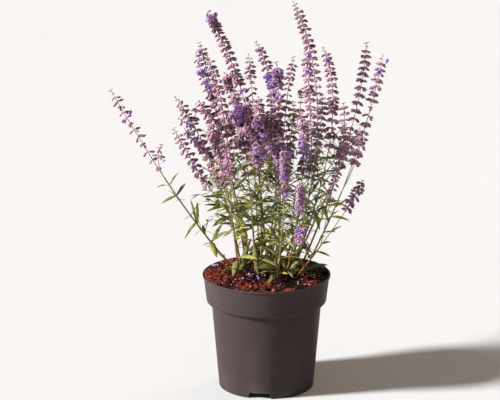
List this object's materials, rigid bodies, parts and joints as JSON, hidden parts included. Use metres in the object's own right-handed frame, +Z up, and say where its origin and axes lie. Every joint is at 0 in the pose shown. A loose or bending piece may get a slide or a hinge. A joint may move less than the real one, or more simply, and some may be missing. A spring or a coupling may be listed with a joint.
{
  "type": "potted russian sage",
  "caption": "Bushy flowering sage in a round tapered nursery pot: upright leafy stems that end in forked spikes of small mauve whorls, standing in dark bark soil.",
  "frame": {"origin": "on the ground under the middle of the whole plant's outline", "axes": "+Z up along the pot's axis, -Y towards the front of the picture, +X to the right"},
  "size_m": [0.3576, 0.2537, 0.527],
  "materials": {
    "pot_plastic": "satin taupe brown",
    "soil": "coarse dark bark and peat",
    "green_leaf": "matt olive green leaf",
    "mauve_flower": "woolly mauve calyces"
  },
  "bodies": {
    "root": {"pot": "pot_plastic", "soil": "soil", "leafy_stem_far_left": "green_leaf", "leafy_stem_left_low": "green_leaf", "leafy_stem_left_mid": "green_leaf", "leafy_stem_left_high": "green_leaf", "leafy_stem_left_front": "green_leaf", "leafy_stem_centre_left": "green_leaf", "leafy_stem_centre_bowed": "green_leaf", "leafy_stem_centre_back": "green_leaf", "leafy_stem_centre_front": "green_leaf", "leafy_stem_centre_right": "green_leaf", "leafy_stem_tallest": "green_leaf", "leafy_stem_right_inner": "green_leaf", "leafy_stem_right_high": "green_leaf", "leafy_stem_right_outer": "green_leaf", "leafy_stem_right_low": "green_leaf", "leafy_stem_front_low": "green_leaf", "leafy_stem_front_right": "green_leaf", "leafy_stem_back_right": "green_leaf", "leafy_stem_back_left": "green_leaf", "leafy_stem_rear_left": "green_leaf", "leafy_stem_rear_centre": "green_leaf", "leafy_stem_rear_right": "green_leaf", "leafy_stem_rear_outer": "green_leaf", "flower_spray_far_left": "mauve_flower", "flower_spray_left_low": "mauve_flower", "flower_spray_left_mid": "mauve_flower", "flower_spray_left_high": "mauve_flower", "flower_spray_left_front": "mauve_flower", "flower_spray_centre_left": "mauve_flower", "flower_spray_centre_bowed": "mauve_flower", "flower_spray_centre_back": "mauve_flower", "flower_spray_centre_front": "mauve_flower", "flower_spray_centre_right": "mauve_flower", "flower_spray_tallest": "mauve_flower", "flower_spray_right_inner": "mauve_flower", "flower_spray_right_high": "mauve_flower", "flower_spray_right_outer": "mauve_flower", "flower_spray_right_low": "mauve_flower", "flower_spray_front_low": "mauve_flower", "flower_spray_front_right": "mauve_flower", "flower_spray_back_right": "mauve_flower", "flower_spray_back_left": "mauve_flower", "flower_spray_rear_left": "mauve_flower", "flower_spray_rear_centre": "mauve_flower", "flower_spray_rear_right": "mauve_flower", "flower_spray_rear_outer": "mauve_flower"}
  },
  "joints": []
}
